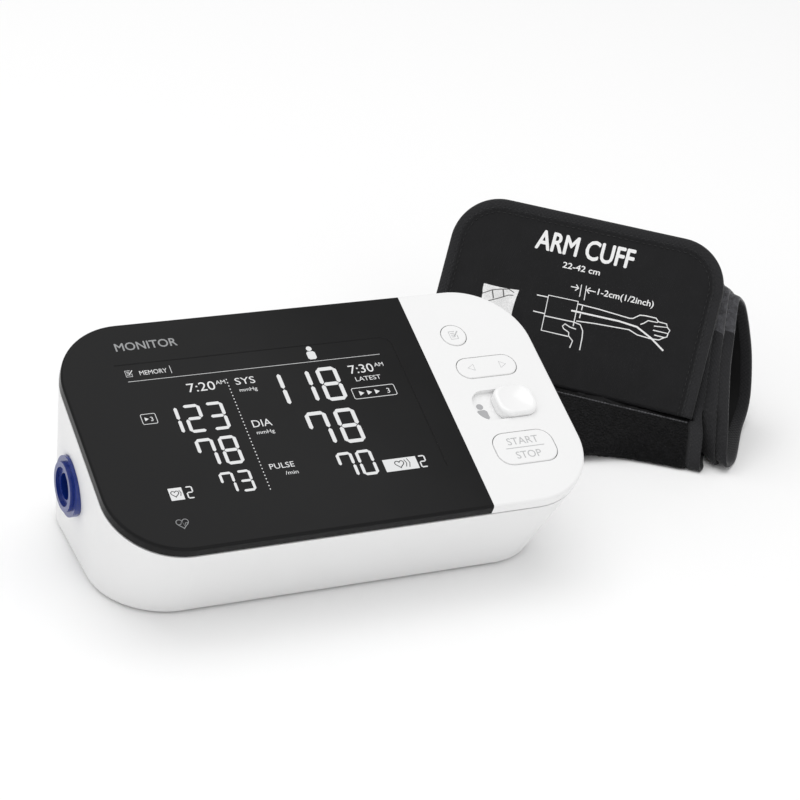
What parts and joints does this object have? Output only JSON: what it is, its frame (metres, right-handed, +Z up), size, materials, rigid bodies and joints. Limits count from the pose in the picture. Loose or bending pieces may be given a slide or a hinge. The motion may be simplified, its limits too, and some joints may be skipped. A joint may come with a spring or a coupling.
{
  "type": "blood pressure cuff",
  "caption": "Desk blood pressure monitor with a sloping black display, white keys, slide switch and blue air jack, and a rolled black upper-arm cuff with an open flap.",
  "frame": {"origin": "on the table, under the middle of the lower front edge of the monitor's sloping lid", "axes": "+X along the monitor to its key side, +Y from the front to the back, +Z up"},
  "size_m": [0.3297, 0.1998, 0.0814],
  "materials": {
    "case_white": "satin",
    "seal_grey": "matt",
    "window_black": "gloss",
    "key_white": "satin",
    "knob_white": "gloss",
    "lcd_glass": "clear",
    "light_guide": "clear",
    "inner_grey": "matt",
    "board_green": "lacquered",
    "chip_black": "matt",
    "switch_metal": "bright",
    "jack_blue": "gloss",
    "hose_rubber": "matt",
    "motor_steel": "satin",
    "cell_steel": "gloss",
    "contact_nickel": "bright",
    "foot_rubber": "matt",
    "screw_steel": "satin",
    "nylon_black": "woven",
    "bladder_grey": "matt",
    "former_clear": "clear",
    "lining_black": "woven",
    "pile_black": "looped pile",
    "binding_black": "ribbed tape",
    "outlet_black": "matt",
    "hook_black": "hook tape",
    "label_white": "satin"
  },
  "bodies": {
    "monitor": {"lower_case": "case_white", "top_cover": "case_white", "rim_seal": "seal_grey", "display_window": "window_black", "lcd_panel": "lcd_glass", "lcd_backlight": "light_guide", "lcd_holder": "inner_grey", "main_board": "board_green", "board_spacers": "inner_grey", "board_chips": "chip_black", "key_board": "board_green", "tact_switches": "switch_metal", "slide_switch": "chip_black", "air_jack": "jack_blue", "air_nozzle": "inner_grey", "air_manifold": "inner_grey", "inner_hoses": "hose_rubber", "pump_motor": "motor_steel", "pump_head": "inner_grey", "pump_cradle": "hose_rubber", "exhaust_valve": "motor_steel", "pressure_sensor": "switch_metal", "dc_jack": "chip_black", "battery_bay": "case_white", "batteries": "cell_steel", "battery_contacts": "contact_nickel", "rubber_feet": "foot_rubber", "case_screws": "screw_steel"},
    "memory_key": {"memory_button": "key_white"},
    "rocker_key": {"rocker_button": "key_white"},
    "start_key": {"start_stop_button": "key_white"},
    "user_knob": {"user_switch_knob": "knob_white"},
    "bay_lid": {"battery_cover": "case_white"},
    "cuff": {"cuff_cover": "nylon_black", "air_bladder": "bladder_grey", "cuff_former": "former_clear", "cuff_lining": "lining_black", "pile_band": "pile_black", "end_bindings": "binding_black", "tube_outlet": "outlet_black"},
    "flap": {"flap_panel": "nylon_black", "flap_binding": "binding_black", "flap_hook": "hook_black", "arm_label": "label_white"}
  },
  "joints": [
    {"name": "memory_press", "type": "slide", "parent": "monitor", "child": "memory_key", "axis": [0, 0.4, -0.9165], "range_m": [0, 0.0008], "stiffness_N_per_m": 600, "springref_m": -0.0005},
    {"name": "rocker_tilt", "type": "hinge", "parent": "monitor", "child": "rocker_key", "pos_m": [0.07115, 0.05878, 0.06352], "axis": [0, 0.9165, 0.4], "range_deg": [-1.5, 1.5], "stiffness_Nm_per_rad": 0.08},
    {"name": "start_press", "type": "slide", "parent": "monitor", "child": "start_key", "axis": [0, 0.4, -0.9165], "range_m": [0, 0.0008], "stiffness_N_per_m": 600, "springref_m": -0.0005},
    {"name": "user_slide", "type": "slide", "parent": "monitor", "child": "user_knob", "axis": [-1, 0, 0], "range_m": [0, 0.0086]},
    {"name": "bay_lid_swing", "type": "hinge", "parent": "monitor", "child": "bay_lid", "pos_m": [0, 0.0474, 0.0018], "axis": [-1, 0, 0], "range_deg": [0, 85]},
    {"name": "cuff_place", "type": "slide", "parent": "monitor", "child": "cuff", "axis": [1, 0, 0], "range_m": [0, 0.18]},
    {"name": "flap_fold", "type": "hinge", "parent": "cuff", "child": "flap", "pos_m": [0.14227, 0.12056, 0.01772], "axis": [0.7251, -0.6886, 0], "range_deg": [0, 55]}
  ]
}
